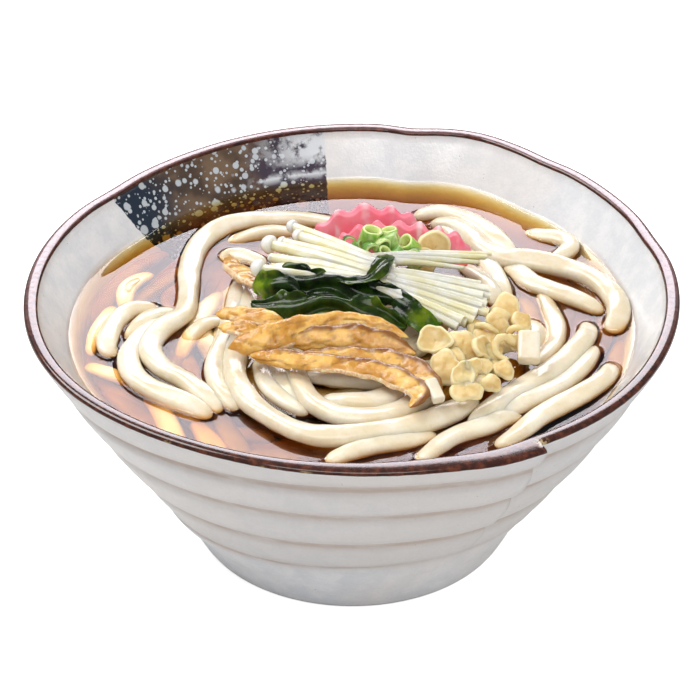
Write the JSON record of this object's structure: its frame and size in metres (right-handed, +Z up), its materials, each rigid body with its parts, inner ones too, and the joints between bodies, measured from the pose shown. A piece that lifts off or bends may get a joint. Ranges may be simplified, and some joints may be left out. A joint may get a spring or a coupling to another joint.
{
  "type": "udon noodle bowl",
  "caption": "Banded stoneware bowl of thick noodles in broth, topped with fried tofu, seaweed, enoki mushrooms, fish cake, spring onion and batter drops.",
  "frame": {"origin": "under the middle of the bowl, on the surface that it stands on", "axes": "+Z up, +Y away from the eater's side, +X to the right; the bowl's overlapping seam is at the front right"},
  "size_m": [0.1988, 0.2004, 0.0939],
  "materials": {
    "glaze": "satin grey-white glaze on stoneware, with a brown iron rim",
    "broth": "clear amber liquid",
    "noodle": "wet, smooth",
    "tofu": "oily, puckered",
    "seaweed": "wet",
    "mushroom": "moist",
    "fish_cake": "satin",
    "onion": "satin",
    "batter": "matte, crisp"
  },
  "bodies": {
    "root": {"bowl": "glaze", "broth": "broth", "noodles": "noodle", "tofu_low": "tofu", "tofu_right": "tofu", "tofu_inner": "tofu", "tofu_main": "tofu", "tofu_left_low": "tofu", "tofu_left_high": "tofu", "tofu_back": "tofu", "seaweed_lower": "seaweed", "seaweed_fold": "seaweed", "seaweed_curl": "seaweed", "seaweed_strap": "seaweed", "seaweed_band": "seaweed", "mushrooms": "mushroom", "fish_cake_back": "fish_cake", "fish_cake_front": "fish_cake", "spring_onion": "onion", "batter_drop_large": "batter", "batter_drop_small": "batter", "batter_drops": "batter", "noodle_end_large": "noodle", "noodle_end_small": "noodle"}
  },
  "joints": []
}
